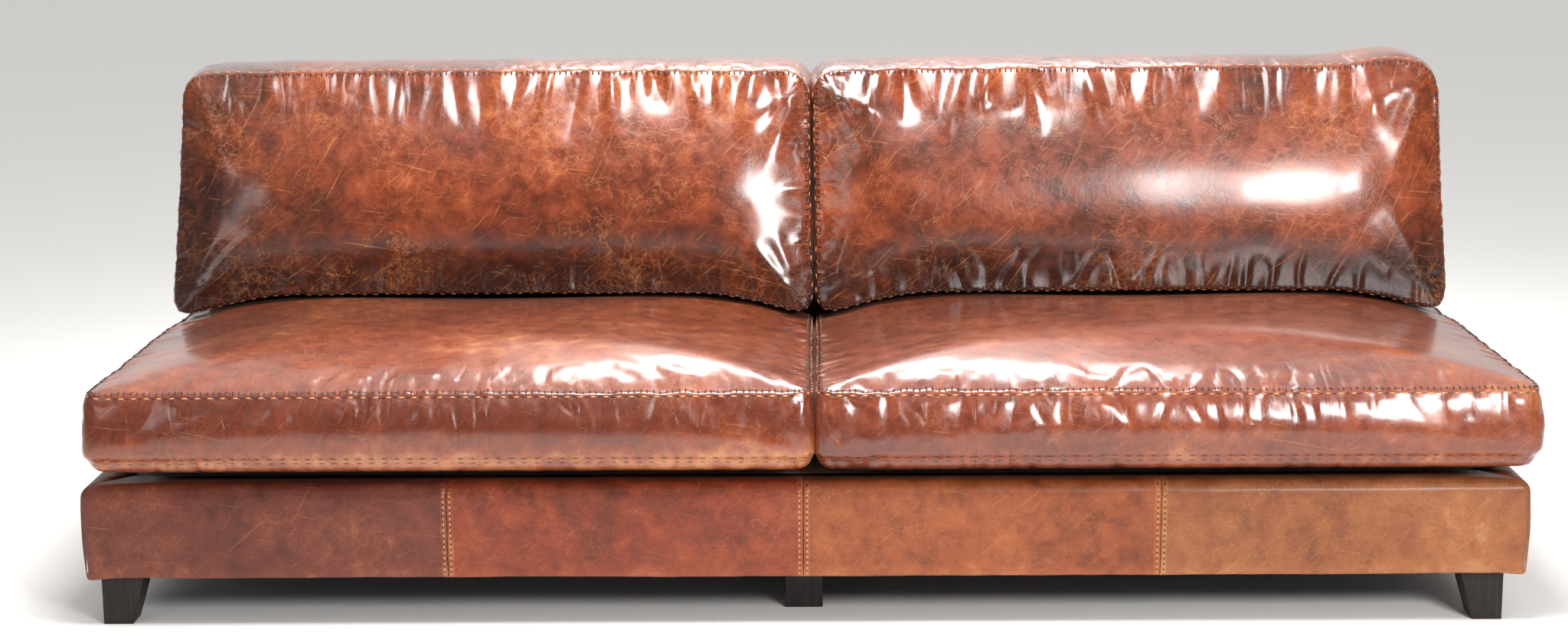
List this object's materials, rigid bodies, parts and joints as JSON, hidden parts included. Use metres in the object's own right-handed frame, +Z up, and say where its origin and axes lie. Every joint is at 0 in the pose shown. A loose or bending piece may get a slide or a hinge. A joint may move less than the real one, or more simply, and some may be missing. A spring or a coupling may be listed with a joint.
{
  "type": "worn leather sofa",
  "caption": "Armless sofa with a low leather-covered base on dark tapered feet, deep loose seat cushions and loose leaning back cushions in worn brown leather.",
  "frame": {"origin": "centre of the sofa's box, at the floor under the feet", "axes": "+Z up, -Y the way a sitter faces, +X to the right of someone facing the sofa"},
  "size_m": [2.413, 1.01, 0.868],
  "materials": {
    "leather_cushion": "worn waxed leather, glossy",
    "leather_base": "worn waxed leather, satin",
    "stained_wood": "dark stain, satin",
    "pine": "planed, bare",
    "webbing": "woven elastic",
    "padding": "soft wadding and foam",
    "dust_cloth": "matt non-woven cloth",
    "zip_tape": "woven tape",
    "zinc_steel": "zinc plated"
  },
  "bodies": {
    "root": {"base_front_rail": "pine", "base_back_rail": "pine", "base_left_rail": "pine", "base_right_rail": "pine", "base_centre_rail": "pine", "corner_block_front_left": "pine", "corner_block_front_right": "pine", "corner_block_back_left": "pine", "corner_block_back_right": "pine", "back_left_post": "pine", "back_right_post": "pine", "back_centre_post": "pine", "back_top_rail": "pine", "foot_front_left": "stained_wood", "foot_front_centre": "stained_wood", "foot_front_right": "stained_wood", "foot_back_left": "stained_wood", "foot_back_centre": "stained_wood", "foot_back_right": "stained_wood", "foot_bolt_front_left": "zinc_steel", "foot_bolt_front_centre": "zinc_steel", "foot_bolt_front_right": "zinc_steel", "foot_bolt_back_left": "zinc_steel", "foot_bolt_back_centre": "zinc_steel", "foot_bolt_back_right": "zinc_steel", "seat_web_1": "webbing", "seat_web_2": "webbing", "seat_web_3": "webbing", "seat_web_4": "webbing", "seat_web_5": "webbing", "seat_web_6": "webbing", "back_web_1": "webbing", "back_web_2": "webbing", "base_wadding": "padding", "seat_deck_pad": "padding", "back_wadding": "padding", "base_cover_front_1": "leather_base", "base_cover_front_2": "leather_base", "base_cover_front_3": "leather_base", "base_cover_front_4": "leather_base", "base_cover_left": "leather_base", "base_cover_right": "leather_base", "inside_back_cover": "leather_base", "back_side_cover_left": "leather_base", "back_side_cover_right": "leather_base", "outside_back_left": "leather_base", "outside_back_right": "leather_base", "dust_cover": "dust_cloth", "seat_cushion_cover_left": "leather_cushion", "seat_cushion_cover_right": "leather_cushion", "back_cushion_cover_left": "leather_cushion", "back_cushion_cover_right": "leather_cushion", "seat_cushion_filling_left": "padding", "seat_cushion_filling_right": "padding", "back_cushion_filling_left": "padding", "back_cushion_filling_right": "padding", "seat_zip_left": "zip_tape", "seat_zip_right": "zip_tape", "back_zip_left": "zip_tape", "back_zip_right": "zip_tape"}
  },
  "joints": []
}
